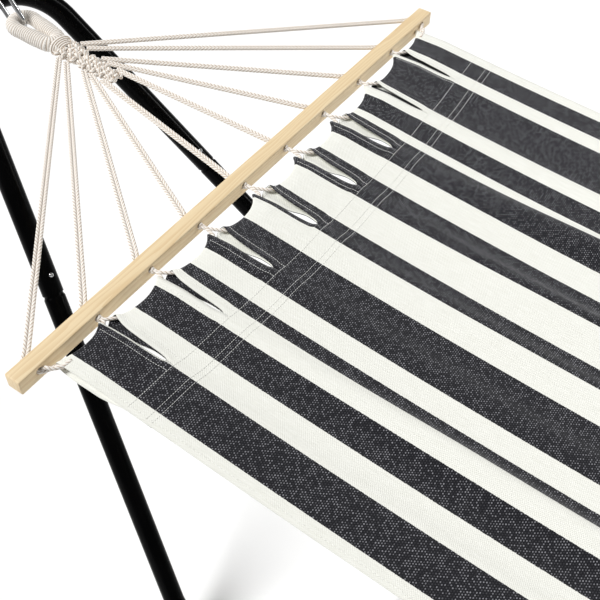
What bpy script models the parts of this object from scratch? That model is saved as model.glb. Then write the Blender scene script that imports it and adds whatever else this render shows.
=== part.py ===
"""A spreader-bar hammock on a tubular steel stand, modelled in Blender 4.5.

Units are metres, +Z is up, +X runs along the hammock towards its foot end, and the origin is on
the floor under the middle of the bed. Each end of the hammock is the same, so an end is modelled
once, in an end frame whose origin is on the floor under the spreader bar and whose +X points at
the middle of the bed. The foot end is that frame turned half round. Left is always the -Y side of
the whole object; an end's ropes are numbered from the -Y side of its own frame.
"""

import math

import bmesh
import bpy
from mathutils import Matrix, Vector

# Spreader bars
BAR_LENGTH = 1.10
BAR_WIDTH = 0.028
BAR_DEPTH = 0.027
BAR_EDGE = 0.002
BAR_HEIGHT = 0.98
BAR_SPACING = 2.06
HOLE_COUNT = 10
HOLE_INSET = 0.036
HOLE_DIAMETER = 0.0125
HOLE_RISE = 0.003

# Bed
BED_WIDTH = 0.982
BED_THICKNESS = 0.004
BED_GAP_TO_BAR = 0.034
BED_DROP = 0.003
BED_SAG = 0.060
BED_STEPS = 12

# Stand tubes
TUBE_RADIUS = 0.021
TUBE_WALL = 0.0015
TUBE_SIDES = 16
NECK_RADIUS = 0.0188
INSERT_LENGTH = 0.060
NECK_SHOW = 0.003
SHOULDER = 0.006
LEG_LEAN = math.radians(35.0)
LEG_SPREAD = math.radians(15.0)
CROWN_RADIUS = 0.130
CROWN_OUT = 0.617
CROWN_RISE = 0.081
ARCH_END_DROP = 0.330
FLOOR_BEND_RADIUS = 0.07
LEG_END_X = 0.60
BEND_STEP = math.radians(10.0)
CARRY_START = Vector((0.31, 0.87, 0.23))

# Cross tubes and feet
CROSS_RADIUS = 0.019
CROSS_LENGTH = 1.00
CROSS_X = 0.47
FOOT_WIDTH = 0.052
FOOT_LENGTH = 0.050
FOOT_BASE = 0.003
FOOT_WALL = 0.0035
FOOT_OVERLAP = 0.040
FOOT_EDGE = 0.003
HEEL_X = 0.155
HEEL_LENGTH = 0.060
HEEL_WIDTH = 0.054

# Fasteners
SCREW_RADIUS = 0.003
SCREW_HEAD_RADIUS = 0.0047
SCREW_HEAD_HEIGHT = 0.0034
SCREW_REACH = 0.008
SCREW_TO_END = 0.038
BOLT_RADIUS = 0.004
BOLT_HEAD_RADIUS = 0.0085
BOLT_HEAD_HEIGHT = 0.005
BOLT_REACH = 0.052
FASTENER_SIDES = 12

# S hooks
HOOK_ROD_RADIUS = 0.0045
HOOK_TILT = math.radians(54.0)
HOOK_SPINE = 0.050
HOOK_MOUTH_RADIUS = 0.020
HOOK_LIP = 0.058
HOOK_SIDES = 10
HOOK_TOP_END = math.radians(205.0)
HOOK_GAP = 0.0005
HOOK_TIP_RADIUS = 0.0027
HOOK_STEP = math.radians(19.0)

# Rope eye, clew and ropes
EYE_TIP_LIMB = 0.0125
EYE_SIDE_LIMB = 0.0130
EYE_HALF_WIDTH = 0.0215
EYE_NECK_OUT = 0.455
EYE_NECK_RADIUS = 0.0137
EYE_STEP = math.radians(25.0)
CLEW_START_OUT = 0.441
CLEW_END_OUT = 0.315
CLEW_HALF_WIDTH = 0.023
CLEW_END_HALF_WIDTH = 0.012
CLEW_HALF_HEIGHT = 0.014
CLEW_STEPS = 5
ROPE_EXITS = (0.420, 0.404, 0.366, 0.351, 0.327)
ROPE_DIAMETER = 0.009
ROPE_OFF_CLEW = 0.006
ROPE_RUN_OUT = 0.0072
SOFT_SIDES = 10

GAP = 0.0003
SHARP_ANGLE = math.radians(40.0)
TUBE_BORE = TUBE_RADIUS - TUBE_WALL
CROSS_BORE = CROSS_RADIUS - TUBE_WALL
CROSS_Z = FOOT_BASE + GAP + CROSS_RADIUS
RAIL_Z = CROSS_Z + CROSS_RADIUS + GAP + TUBE_RADIUS
ARCH_DOWN = Vector((math.sin(LEG_LEAN), 0.0, -math.cos(LEG_LEAN)))
ARCH_NORMAL = Vector((math.cos(LEG_LEAN), 0.0, math.sin(LEG_LEAN)))
CROWN = Vector((-CROWN_OUT, 0.0, BAR_HEIGHT + CROWN_RISE))
HOOK_DOWN = Vector((math.cos(HOOK_TILT), 0.0, -math.sin(HOOK_TILT)))
HOOK_SIDE = Vector((math.sin(HOOK_TILT), 0.0, math.cos(HOOK_TILT)))
HOOK_REST = TUBE_RADIUS + HOOK_ROD_RADIUS + HOOK_GAP
HOOK_CENTRE = CROWN + HOOK_SIDE * (HOOK_REST + HOOK_MOUTH_RADIUS) + HOOK_DOWN * HOOK_SPINE

FINISHES = {
    "black_steel": ((0.012, 0.012, 0.013), 0.32, 0.0),
    "bright_steel": ((0.55, 0.56, 0.57), 0.25, 1.0),
    "pine": ((0.78, 0.62, 0.40), 0.55, 0.0),
    "cotton_rope": ((0.83, 0.79, 0.70), 0.85, 0.0),
    "canvas": ((0.45, 0.45, 0.45), 0.80, 0.0),
    "rubber": ((0.020, 0.020, 0.020), 0.70, 0.0),
}


def remove_everything():
    for old in list(bpy.data.objects):
        bpy.data.objects.remove(old)


def finish_of(name, finish):
    """A material for one piece, with the finish's colour, roughness and metallic value."""
    colour, roughness, metallic = FINISHES[finish]
    material = bpy.data.materials.new(name + "_" + finish)
    material.use_nodes = True
    shader = material.node_tree.nodes["Principled BSDF"]
    shader.inputs["Base Color"].default_value = (*colour, 1.0)
    shader.inputs["Roughness"].default_value = roughness
    shader.inputs["Metallic"].default_value = metallic
    return material


def add_object(name, data, finish, parent, smooth=True):
    piece = bpy.data.objects.new(name, data)
    bpy.context.scene.collection.objects.link(piece)
    piece.parent = parent
    if smooth and isinstance(data, bpy.types.Mesh):
        data.shade_smooth()
        data.set_sharp_from_angle(angle=SHARP_ANGLE)
    data.materials.append(finish_of(name, finish))
    return piece


def add_empty(name, location, turn=0.0, parent=None):
    empty = bpy.data.objects.new(name, None)
    bpy.context.scene.collection.objects.link(empty)
    empty.location = location
    empty.rotation_euler = (0.0, 0.0, turn)
    empty.parent = parent
    return empty


def mesh_of(name, corners, faces):
    """A mesh from corners and faces, with its faces turned outwards."""
    mesh = bpy.data.meshes.new(name)
    builder = bmesh.new()
    made = [builder.verts.new(corner) for corner in corners]
    for face in faces:
        builder.faces.new([made[index] for index in face])
    bmesh.ops.recalc_face_normals(builder, faces=builder.faces)
    builder.to_mesh(mesh)
    builder.free()
    return mesh


def ring_frames(points, closed=False):
    """Two directions across the path at each point, carried along it without twisting."""
    count = len(points)
    frames = []
    across = None
    for index, point in enumerate(points):
        if closed:
            along = points[(index + 1) % count] - points[index - 1]
        else:
            along = points[min(index + 1, count - 1)] - points[max(index - 1, 0)]
        along.normalize()
        if across is None:
            across = along.cross(CARRY_START).normalized()
        across = (across - along * across.dot(along)).normalized()
        frames.append((across.copy(), along.cross(across)))
    return frames


def ring(point, frame, radius, sides):
    turns = (2.0 * math.pi * step / sides for step in range(sides))
    return [point + frame[0] * (radius * math.cos(a)) + frame[1] * (radius * math.sin(a)) for a in turns]


def bridge(first, second, sides):
    """The faces between two rings of corners that start at the given indices."""
    steps = range(sides)
    return [(first + s, first + (s + 1) % sides, second + (s + 1) % sides, second + s) for s in steps]


def hollow_tube(name, stations, sides=TUBE_SIDES):
    """A tube along a path. A station is (point, outer radius, bore radius)."""
    points = [Vector(station[0]) for station in stations]
    frames = ring_frames(points)
    corners = []
    for layer in (1, 2):
        for point, frame, station in zip(points, frames, stations):
            corners += ring(point, frame, station[layer], sides)
    count = len(stations)
    faces = []
    for layer in (0, 1):
        for index in range(count - 1):
            start = (layer * count + index) * sides
            faces += bridge(start, start + sides, sides)
    faces += bridge(0, count * sides, sides)
    faces += bridge((count - 1) * sides, (2 * count - 1) * sides, sides)
    return mesh_of(name, corners, faces)


def solid_rod(name, points, radii, sides):
    """A rod along an open path, closed by its two end faces."""
    frames = ring_frames(points)
    corners = []
    for point, frame, radius in zip(points, frames, radii):
        corners += ring(point, frame, radius, sides)
    faces = []
    for index in range(len(points) - 1):
        faces += bridge(index * sides, (index + 1) * sides, sides)
    faces.append(tuple(range(sides)))
    faces.append(tuple(range((len(points) - 1) * sides, len(points) * sides)))
    return mesh_of(name, corners, faces)


def closed_loop(name, points, radii, sides):
    frames = ring_frames(points, closed=True)
    corners = []
    for point, frame, radius in zip(points, frames, radii):
        corners += ring(point, frame, radius, sides)
    faces = []
    for index in range(len(points)):
        faces += bridge(index * sides, ((index + 1) % len(points)) * sides, sides)
    return mesh_of(name, corners, faces)


def arc(centre, start, side, radius, first, last, step=BEND_STEP):
    """Points on an arc, at angles measured from start towards side."""
    count = max(2, math.ceil(abs(last - first) / step))
    angles = (first + (last - first) * index / count for index in range(count + 1))
    return [centre + start * (radius * math.cos(a)) + side * (radius * math.sin(a)) for a in angles]


def turned(name, profile, sides=FASTENER_SIDES):
    """A solid turned about Z from (radius, height) points that run from top centre to bottom centre."""
    corners = []
    for radius, height in profile:
        angles = (2.0 * math.pi * step / sides for step in range(sides))
        corners += [Vector((radius * math.cos(a), radius * math.sin(a), height)) for a in angles]
    faces = []
    for index in range(len(profile) - 1):
        faces += bridge(index * sides, (index + 1) * sides, sides)
    faces.append(tuple(range(sides)))
    faces.append(tuple(range((len(profile) - 1) * sides, len(profile) * sides)))
    return mesh_of(name, corners, faces)


def box_mesh(name, size, centre):
    mesh = bpy.data.meshes.new(name)
    builder = bmesh.new()
    place = Matrix.Translation(centre) @ Matrix.Diagonal((*size, 1.0))
    bmesh.ops.create_cube(builder, size=1.0, matrix=place)
    builder.to_mesh(mesh)
    builder.free()
    return mesh


def drill(piece, holes):
    """Cuts straight round holes, each (centre, direction, radius, length), out of a piece."""
    widening = 1.0 / math.cos(math.pi / FASTENER_SIDES)
    mesh = bpy.data.meshes.new(piece.name + "_drill")
    builder = bmesh.new()
    for centre, direction, radius, length in holes:
        turn = Vector((0.0, 0.0, 1.0)).rotation_difference(direction).to_matrix().to_4x4()
        bmesh.ops.create_cone(
            builder,
            cap_ends=True,
            segments=FASTENER_SIDES,
            radius1=radius * widening,
            radius2=radius * widening,
            depth=length,
            matrix=Matrix.Translation(centre) @ turn,
        )
    builder.to_mesh(mesh)
    builder.free()
    cutter = bpy.data.objects.new(piece.name + "_drill", mesh)
    bpy.context.scene.collection.objects.link(cutter)
    cutter.parent = piece.parent
    cutter.hide_render = True
    cutter.display_type = "WIRE"
    cut = piece.modifiers.new("drilled", "BOOLEAN")
    cut.operation = "DIFFERENCE"
    cut.solver = "EXACT"
    cut.object = cutter


# ---------------------------------------------------------------- stand


def side_name(end, side):
    """The word for side -1 or +1 of an end frame. The foot end is turned, so its sides swap."""
    return "left" if (side < 0) == (end == "head") else "right"


def leg_direction(side):
    """Down a leg, for side -1 (-Y of the end frame) or +1."""
    spread = Vector((0.0, side * math.sin(LEG_SPREAD), 0.0))
    return ARCH_DOWN * math.cos(LEG_SPREAD) + spread


def crown_points():
    centre = CROWN + ARCH_DOWN * CROWN_RADIUS
    half_turn = math.pi / 2.0 - LEG_SPREAD
    return arc(centre, -ARCH_DOWN, Vector((0.0, 1.0, 0.0)), CROWN_RADIUS, -half_turn, half_turn)


def leg_start(side):
    ends = crown_points()
    return ends[-1] if side > 0 else ends[0]


def arch_end(side):
    """Where the arch tube stops and the lower leg's neck goes into it."""
    start = leg_start(side)
    down = leg_direction(side)
    return start + down * ((start.z - (BAR_HEIGHT - ARCH_END_DROP)) / -down.z)


def leg_foot(side):
    """Where the leg's straight line meets the line of the side rail."""
    start = leg_start(side)
    down = leg_direction(side)
    return start + down * ((start.z - RAIL_Z) / -down.z)


def make_arch(end, parent):
    path = [arch_end(-1), *crown_points(), arch_end(1)]
    mesh = hollow_tube(end + "_arch_tube", [(point, TUBE_RADIUS, TUBE_BORE) for point in path])
    tube = add_object(end + "_arch_tube", mesh, "black_steel", parent)
    drill(tube, [screw_hole(*arch_screw(side)) for side in (-1, 1)])


def neck_stations(end_point, into, bore):
    """A swaged neck: it runs into the next tube, shows a little, and widens at a shoulder."""
    tip = end_point + into * INSERT_LENGTH
    show = end_point - into * NECK_SHOW
    full = show - into * SHOULDER
    neck_bore = NECK_RADIUS - TUBE_WALL
    return [
        (tip, NECK_RADIUS, neck_bore),
        (show, NECK_RADIUS, neck_bore),
        (full, TUBE_RADIUS, bore),
    ]


def make_leg(end, side, parent):
    name = f"{end}_{side_name(end, side)}_leg"
    down = leg_direction(side)
    along = Vector((1.0, 0.0, 0.0))
    corner = leg_foot(side)
    turn = down.angle(along)
    setback = FLOOR_BEND_RADIUS * math.tan(turn / 2.0)
    inward = (along - down * along.dot(down)).normalized()
    centre = corner - down * setback + inward * FLOOR_BEND_RADIUS
    bend = arc(centre, -inward, down, FLOOR_BEND_RADIUS, 0.0, turn)
    last = Vector((LEG_END_X, corner.y, RAIL_Z))
    stations = neck_stations(arch_end(side), -down, TUBE_BORE)
    stations += [(point, TUBE_RADIUS, TUBE_BORE) for point in [*bend, last]]
    leg = add_object(name, hollow_tube(name, stations), "black_steel", parent)
    bolt_centre = Vector((CROSS_X, corner.y, RAIL_Z))
    up = Vector((0.0, 0.0, 1.0))
    holes = [
        screw_hole(*arch_screw(side)),
        screw_hole(*rail_screw(side)),
        (bolt_centre, up, BOLT_RADIUS + GAP, 3.0 * TUBE_RADIUS),
    ]
    drill(leg, holes)


def make_rail(side):
    name = side_name("head", side) + "_side_rail"
    y = leg_foot(side).y
    end_x = BAR_SPACING / 2.0 - LEG_END_X
    along = Vector((1.0, 0.0, 0.0))
    first = neck_stations(Vector((-end_x, y, RAIL_Z)), -along, TUBE_BORE)
    second = neck_stations(Vector((end_x, y, RAIL_Z)), along, TUBE_BORE)
    rail = add_object(name, hollow_tube(name, first + second[::-1]), "black_steel", None)
    holes = []
    for turn_sign in (-1, 1):
        place, direction = rail_screw(side)
        x = turn_sign * (BAR_SPACING / 2.0 - place.x)
        holes.append(screw_hole(Vector((x, place.y, place.z)), direction))
    drill(rail, holes)


def make_cross_tube(end, parent):
    name = end + "_cross_tube"
    half = CROSS_LENGTH / 2.0
    stations = [((CROSS_X, y, CROSS_Z), CROSS_RADIUS, CROSS_BORE) for y in (-half, half)]
    tube = add_object(name, hollow_tube(name, stations), "black_steel", parent)
    holes = []
    for side in (-1, 1):
        top = Vector((CROSS_X, leg_foot(side).y, CROSS_Z + CROSS_RADIUS))
        holes.append((top, Vector((0.0, 0.0, 1.0)), BOLT_RADIUS + GAP, CROSS_RADIUS))
    drill(tube, holes)


def make_foot(end, side, parent):
    """A rubber foot with a flat sole, pushed over the end of the cross tube."""
    name = f"{end}_{side_name(end, side)}_foot"
    height = CROSS_Z + CROSS_RADIUS + FOOT_WALL
    tube_end = CROSS_LENGTH / 2.0
    middle = tube_end - FOOT_OVERLAP + FOOT_LENGTH / 2.0
    mesh = box_mesh(name, (FOOT_WIDTH, FOOT_LENGTH, height), Vector((CROSS_X, side * middle, height / 2.0)))
    foot = add_object(name, mesh, "rubber", parent, smooth=False)
    socket_start = tube_end - FOOT_OVERLAP - FOOT_BASE
    socket_length = FOOT_OVERLAP + FOOT_BASE + GAP
    centre = Vector((CROSS_X, side * (socket_start + socket_length / 2.0), CROSS_Z))
    edge = foot.modifiers.new("eased_edges", "BEVEL")
    edge.width = FOOT_EDGE
    edge.segments = 1
    drill(foot, [(centre, Vector((0.0, 1.0, 0.0)), CROSS_RADIUS + GAP, socket_length)])


def make_heel(end, side, parent):
    """A rubber block under the bend of a leg, grooved to take the underside of the tube."""
    name = f"{end}_{side_name(end, side)}_heel_foot"
    y = leg_foot(side).y
    centre = Vector((HEEL_X, y, RAIL_Z / 2.0))
    mesh = box_mesh(name, (HEEL_LENGTH, HEEL_WIDTH, RAIL_Z), centre)
    heel = add_object(name, mesh, "rubber", parent, smooth=False)
    edge = heel.modifiers.new("eased_edges", "BEVEL")
    edge.width = FOOT_EDGE
    edge.segments = 1
    groove = Vector((HEEL_X, y, RAIL_Z))
    drill(heel, [(groove, Vector((1.0, 0.0, 0.0)), TUBE_RADIUS + GAP, 2.0 * HEEL_LENGTH)])


# ---------------------------------------------------------------- fasteners


def arch_screw(side):
    """Place and outward direction of the screw that pins an arch end to its leg's neck."""
    place = arch_end(side) - leg_direction(side) * SCREW_TO_END
    return place + ARCH_NORMAL * TUBE_RADIUS, ARCH_NORMAL


def rail_screw(side):
    """Place and outward direction of the screw that pins a leg to the side rail's neck."""
    outward = Vector((0.0, float(side), 0.0))
    place = Vector((LEG_END_X - SCREW_TO_END, leg_foot(side).y, RAIL_Z))
    return place + outward * TUBE_RADIUS, outward


def screw_hole(place, direction):
    return (place, direction, SCREW_RADIUS + GAP, 2.0 * SCREW_REACH)


def dome_head(head_radius, head_height, shank_radius, reach):
    """Half the outline of a domed screw, whose seat is at height 0."""
    return [
        (head_radius * 0.35, head_height),
        (head_radius * 0.80, head_height * 0.70),
        (head_radius, head_height * 0.15),
        (head_radius, GAP),
        (shank_radius, GAP),
        (shank_radius, -reach),
    ]


def make_fastener(name, profile, place, direction, parent):
    screw = add_object(name, turned(name, profile), "bright_steel", parent)
    screw.location = place
    screw.rotation_mode = "QUATERNION"
    screw.rotation_quaternion = Vector((0.0, 0.0, 1.0)).rotation_difference(direction)


def make_fasteners(end, parent):
    screw = dome_head(SCREW_HEAD_RADIUS, SCREW_HEAD_HEIGHT, SCREW_RADIUS, SCREW_REACH)
    bolt = dome_head(BOLT_HEAD_RADIUS, BOLT_HEAD_HEIGHT, BOLT_RADIUS, BOLT_REACH)
    for side in (-1, 1):
        word = side_name(end, side)
        make_fastener(f"{end}_{word}_arch_screw", screw, *arch_screw(side), parent)
        make_fastener(f"{end}_{word}_rail_screw", screw, *rail_screw(side), parent)
        top = Vector((CROSS_X, leg_foot(side).y, RAIL_Z + TUBE_RADIUS))
        make_fastener(f"{end}_{word}_cross_bolt", bolt, top, Vector((0.0, 0.0, 1.0)), parent)


# ---------------------------------------------------------------- hanging gear


def make_hook(end, parent):
    """A steel S hook: over the crown of the arch, down, under the rope eye and up again."""
    name = end + "_s_hook"
    start = math.pi / 2.0 - HOOK_TILT
    east = Vector((1.0, 0.0, 0.0))
    up = Vector((0.0, 0.0, 1.0))
    over = arc(CROWN, east, up, HOOK_REST, HOOK_TOP_END, start, HOOK_STEP)
    under = arc(HOOK_CENTRE, -HOOK_SIDE, HOOK_DOWN, HOOK_MOUTH_RADIUS, 0.0, math.pi, HOOK_STEP)
    tip = under[-1] - HOOK_DOWN * HOOK_LIP
    path = [*over, *under, tip, tip - HOOK_DOWN * HOOK_TIP_RADIUS]
    radii = [HOOK_ROD_RADIUS] * (len(path) - 1) + [HOOK_TIP_RADIUS]
    add_object(name, solid_rod(name, path, radii, HOOK_SIDES), "bright_steel", parent)


def rope_line_height(out):
    """Height of the middle of the ropes, at a distance out from the bar's middle."""
    low = BAR_HEIGHT + HOLE_RISE
    share = (out - BAR_WIDTH / 2.0) / (-HOOK_CENTRE.x - BAR_WIDTH / 2.0)
    return low + (HOOK_CENTRE.z - low) * share


def rope_line_point(out, y=0.0):
    return Vector((-out, y, rope_line_height(out)))


def make_eye(end, parent):
    """The loop of bound rope that sits in the hook's lower bend."""
    name = end + "_rope_eye"
    neck = rope_line_point(EYE_NECK_OUT)
    along = (neck - HOOK_CENTRE).normalized()
    across = Vector((0.0, 1.0, 0.0))
    round_centre = HOOK_CENTRE + along * EYE_HALF_WIDTH
    length = (neck - round_centre).length - EYE_NECK_RADIUS
    slope = math.asin((EYE_HALF_WIDTH - EYE_NECK_RADIUS) / length)
    first = math.pi / 2.0 - slope
    wide_turn = math.pi - first
    wide = arc(round_centre, -along, across, EYE_HALF_WIDTH, -wide_turn, wide_turn)
    narrow_centre = round_centre + along * length
    narrow = arc(narrow_centre, along, -across, EYE_NECK_RADIUS, -first, first, EYE_STEP)
    loop = wide + narrow
    sideways = [abs(point.y) / EYE_HALF_WIDTH for point in loop]
    radii = [EYE_TIP_LIMB + (EYE_SIDE_LIMB - EYE_TIP_LIMB) * share for share in sideways]
    add_object(name, closed_loop(name, loop, radii, SOFT_SIDES), "cotton_rope", parent)


def clew_half_width(out):
    share = (CLEW_START_OUT - out) / (CLEW_START_OUT - CLEW_END_OUT)
    return CLEW_HALF_WIDTH + (CLEW_END_HALF_WIDTH - CLEW_HALF_WIDTH) * share


def make_clew(end, parent):
    """The woven knot between the eye and the ropes, as a flat tapering body."""
    name = end + "_clew"
    corners = []
    for step in range(CLEW_STEPS + 1):
        out = CLEW_START_OUT + (CLEW_END_OUT - CLEW_START_OUT) * step / CLEW_STEPS
        middle = rope_line_point(out)
        half_width = clew_half_width(out)
        half_height = CLEW_HALF_HEIGHT * half_width / CLEW_HALF_WIDTH
        for turn in range(SOFT_SIDES):
            angle = 2.0 * math.pi * turn / SOFT_SIDES
            offset = (0.0, half_width * math.cos(angle), half_height * math.sin(angle))
            corners.append(middle + Vector(offset))
    last = CLEW_STEPS * SOFT_SIDES
    faces = [tuple(range(SOFT_SIDES)), tuple(range(last, last + SOFT_SIDES))]
    for step in range(CLEW_STEPS):
        faces += bridge(step * SOFT_SIDES, (step + 1) * SOFT_SIDES, SOFT_SIDES)
    add_object(name, mesh_of(name, corners, faces), "cotton_rope", parent)


def hole_y(index):
    pitch = (BAR_LENGTH - 2.0 * HOLE_INSET) / (HOLE_COUNT - 1)
    return -BAR_LENGTH / 2.0 + HOLE_INSET + index * pitch


def make_bar(end, parent):
    name = end + "_spreader_bar"
    mesh = box_mesh(name, (BAR_WIDTH, BAR_LENGTH, BAR_DEPTH), Vector((0.0, 0.0, BAR_HEIGHT)))
    bar = add_object(name, mesh, "pine", parent, smooth=False)
    edge = bar.modifiers.new("eased_edges", "BEVEL")
    edge.width = BAR_EDGE
    edge.segments = 1
    along = Vector((1.0, 0.0, 0.0))
    height = BAR_HEIGHT + HOLE_RISE
    centres = [Vector((0.0, hole_y(index), height)) for index in range(HOLE_COUNT)]
    drill(bar, [(centre, along, HOLE_DIAMETER / 2.0, 2.0 * BAR_WIDTH) for centre in centres])


def slit_y(index):
    """Where a rope meets the edge of the bed: a slit on its hole's line, or the bed's corner."""
    limit = BED_WIDTH / 2.0 - ROPE_DIAMETER
    return max(-limit, min(limit, hole_y(index)))


def rope_route(index):
    """From the clew through the bar's hole to the edge of the bed."""
    y = hole_y(index)
    side = -1.0 if index < HOLE_COUNT // 2 else 1.0
    out = ROPE_EXITS[min(index, HOLE_COUNT - 1 - index)]
    start = rope_line_point(out, side * (clew_half_width(out) + ROPE_OFF_CLEW))
    height = BAR_HEIGHT + HOLE_RISE
    half = BAR_WIDTH / 2.0
    edge_x = BED_GAP_TO_BAR - 2.0 * GAP
    last = Vector((edge_x, slit_y(index), BAR_HEIGHT - BED_DROP))
    return [
        start,
        Vector((-half - ROPE_DIAMETER, y, height)),
        Vector((-half, y, height)),
        Vector((half + ROPE_RUN_OUT, y, height)),
        Vector((edge_x - ROPE_DIAMETER, last.y, last.z)),
        last,
    ]


def make_rope(end, index, parent):
    name = f"{end}_rope_{index + 1:02d}"
    curve = bpy.data.curves.new(name, "CURVE")
    curve.dimensions = "3D"
    curve.bevel_depth = ROPE_DIAMETER / 2.0
    curve.bevel_resolution = 2
    curve.use_fill_caps = True
    route = rope_route(index)
    spline = curve.splines.new("POLY")
    spline.points.add(len(route) - 1)
    for point, place in zip(spline.points, route):
        point.co = (*place, 1.0)
    add_object(name, curve, "cotton_rope", parent)


def make_bed(parent):
    """The cloth, as a thin slab that sags a little between the bars."""
    half_length = BAR_SPACING / 2.0 - BED_GAP_TO_BAR
    corners = []
    for step in range(BED_STEPS + 1):
        x = -half_length + 2.0 * half_length * step / BED_STEPS
        sag = BED_SAG * (1.0 - (x / half_length) ** 2)
        top = BAR_HEIGHT - BED_DROP - sag + BED_THICKNESS / 2.0
        for y, z in ((-1, 0), (1, 0), (1, 1), (-1, 1)):
            corners.append(Vector((x, y * BED_WIDTH / 2.0, top - z * BED_THICKNESS)))
    faces = [tuple(range(4)), tuple(range(4 * BED_STEPS, 4 * BED_STEPS + 4))]
    for step in range(BED_STEPS):
        faces += bridge(4 * step, 4 * step + 4, 4)
    add_object("bed", mesh_of("bed", corners, faces), "canvas", parent, smooth=False)


def make_end(end, stand, swing, turn):
    """Everything at one end; turn is 0 at the head and half a turn at the foot."""
    place = Vector((-BAR_SPACING / 2.0 * math.cos(turn), 0.0, 0.0))
    fixed = add_empty(end + "_stand_end", place, turn, stand)
    hung = add_empty(end + "_hammock_end", place - swing.location, turn, swing)
    level = add_empty(end + "_floor_level", Vector((0.0, 0.0, 0.0)), 0.0, hung)
    make_arch(end, fixed)
    make_cross_tube(end, fixed)
    for side in (-1, 1):
        make_leg(end, side, fixed)
        make_foot(end, side, fixed)
        make_heel(end, side, fixed)
    make_fasteners(end, fixed)
    make_hook(end, fixed)
    make_eye(end, level)
    make_clew(end, level)
    make_bar(end, level)
    for index in range(HOLE_COUNT):
        make_rope(end, index, level)


def main():
    remove_everything()
    stand = add_empty("stand", Vector((0.0, 0.0, 0.0)))
    swing = add_empty("hammock_swing_axis", Vector((0.0, 0.0, HOOK_CENTRE.z)))
    for end, turn in (("head", 0.0), ("foot", math.pi)):
        make_end(end, stand, swing, turn)
    for side in (-1, 1):
        make_rail(side)
    bed_level = add_empty("bed_level", -swing.location, 0.0, swing)
    make_bed(bed_level)


main()
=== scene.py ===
"""Looks of a spreader-bar hammock on a tubular steel stand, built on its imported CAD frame.

Metres throughout. The object's frame has +X along the hammock, +Y along the bars, +Z up and its
origin on the floor under the bed's middle. Each end of the hammock is described in an end frame,
whose origin is on the floor under the spreader bar and whose +X points at the bed's middle. The
foot end is the head end turned half round.
"""

import math

import bmesh
import bpy
import numpy as np
from mathutils import Matrix, Vector


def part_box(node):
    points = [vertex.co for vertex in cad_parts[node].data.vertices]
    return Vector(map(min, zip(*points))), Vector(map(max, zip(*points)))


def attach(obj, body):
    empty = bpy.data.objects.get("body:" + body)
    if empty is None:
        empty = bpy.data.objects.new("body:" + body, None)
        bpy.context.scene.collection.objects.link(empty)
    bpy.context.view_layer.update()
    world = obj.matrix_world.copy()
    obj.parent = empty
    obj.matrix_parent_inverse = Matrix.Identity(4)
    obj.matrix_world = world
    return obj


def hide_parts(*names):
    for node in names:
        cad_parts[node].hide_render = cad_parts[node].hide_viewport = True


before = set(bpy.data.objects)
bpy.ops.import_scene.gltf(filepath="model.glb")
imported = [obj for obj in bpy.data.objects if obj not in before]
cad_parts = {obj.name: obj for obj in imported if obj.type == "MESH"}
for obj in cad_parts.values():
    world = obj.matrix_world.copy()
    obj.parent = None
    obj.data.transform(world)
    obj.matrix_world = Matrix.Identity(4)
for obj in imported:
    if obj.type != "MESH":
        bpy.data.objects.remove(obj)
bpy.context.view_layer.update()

# ---- dimensions

bar_low, bar_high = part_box("head_spreader_bar")
BAR_X = (bar_low.x + bar_high.x) / 2.0
BAR_HEIGHT = (bar_low.z + bar_high.z) / 2.0
BAR_WIDTH = bar_high.x - bar_low.x
BAR_LENGTH = bar_high.y - bar_low.y
BAR_EDGE = 0.0022
HOLE_COUNT = 10
HOLE_INSET = 0.036
HOLE_RADIUS = 0.00625
HOLE_RISE = 0.003

TUBE_RADIUS = 0.021
TUBE_WALL = 0.0015
NECK_RADIUS = 0.0188
INSERT_LENGTH = 0.060
NECK_SHOW = 0.003
SHOULDER = 0.006
LEG_LEAN = math.radians(35.0)
LEG_SPREAD = math.radians(15.0)
CROWN_RADIUS = 0.130
CROWN_OUT = 0.617
CROWN_RISE = 0.081
ARCH_END_DROP = 0.330
FLOOR_BEND_RADIUS = 0.07
LEG_END_X = 0.60
CROSS_RADIUS = 0.019
CROSS_LENGTH = 1.00
CROSS_X = 0.47
CROSS_Z = 0.0223
RAIL_Z = 0.0626
BEND_STEP = math.radians(3.0)
STAND_SIDES = 48
TUBE_END_ROUNDING = 0.0007
TUBE_END_EASE = 0.0008

# Angles past which an edge is shaded as a sharp one
TUBE_CREASE = 0.7
HOOK_CREASE = 0.9
BLOCK_CREASE = 0.6
SCREW_CREASE = 0.5

SOCKET_SLACK = 0.0003
HEEL_ROUNDING = 0.0035
HEEL_SOCKET_LENGTH = 0.2
HEEL_GROOVE_RISE = 0.009
HEEL_GROOVE_LENGTH = 0.040
FOOT_ROUNDING = 0.004
FOOT_SOCKET_LENGTH = 0.0806
FOOT_GROOVE_RISE = 0.010
FOOT_GROOVE_SHARE = 0.72
GROOVE_COUNT = 3
GROOVE_PITCH = 0.007
GROOVE_WIDTH = 0.0024
GROOVE_HEIGHT = 0.0022

# (head's radius, head's height, shank's radius, shank's length)
SCREW = (0.0047, 0.0034, 0.003, 0.008)
CROSS_BOLT = (0.0085, 0.005, 0.004, 0.052)
SCREW_INSET = 0.038
HEAD_UNDERSIDE = 0.0003

HOOK_ROD_RADIUS = 0.0045
HOOK_TILT = math.radians(54.0)
HOOK_SPINE = 0.050
HOOK_MOUTH_RADIUS = 0.020
HOOK_LIP = 0.058
HOOK_TOP_END = math.radians(205.0)
HOOK_NOSE = 0.0027
HOOK_REST = TUBE_RADIUS + HOOK_ROD_RADIUS + 0.0005

EYE_TIP_LIMB = 0.0125
EYE_SIDE_LIMB = 0.0130
EYE_LIMB_SWELL = 0.0016
EYE_SWELL_START = 0.032
EYE_SWELL_RUN = 0.025
EYE_HALF_WIDTH = 0.0215
EYE_NECK_OUT = 0.455
EYE_NECK_RADIUS = 0.0137
EYE_WRAP_PITCH = 0.0043
EYE_WRAP_DEPTH = 0.0015

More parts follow.
